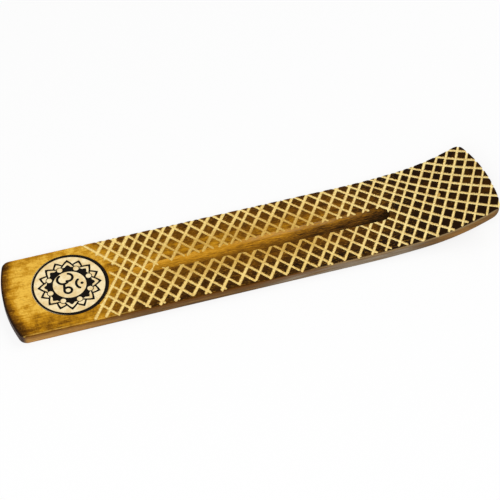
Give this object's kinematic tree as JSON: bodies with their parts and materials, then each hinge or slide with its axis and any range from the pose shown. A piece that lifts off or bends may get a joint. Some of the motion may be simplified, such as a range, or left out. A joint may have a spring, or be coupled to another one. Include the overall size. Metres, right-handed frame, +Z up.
{
  "type": "incense holder",
  "caption": "Ski-shaped wooden incense-stick holder with an upturned drilled tip, a carved diamond lattice, an ash trough and an inlaid lotus and om medallion.",
  "frame": {"origin": "under the middle of the bounding box, on the surface that the board rests on", "axes": "+X along the board from the flat heel to the upturned tip, +Y to the back edge, +Z up"},
  "size_m": [0.232, 0.045, 0.0188],
  "materials": {
    "board_wood": "burnt and lacquered softwood, raw where carved",
    "medallion_stone": "polished cream soapstone",
    "clear_glue": "cured glue film",
    "black_enamel": "black enamel filling, satin"
  },
  "bodies": {
    "root": {"board": "board_wood", "medallion_disc": "medallion_stone", "medallion_glue": "clear_glue", "rim_line_fill": "black_enamel", "petal_line_fill": "black_enamel", "lotus_ground_fill": "black_enamel", "om_sign_fill": "black_enamel"}
  },
  "joints": []
}
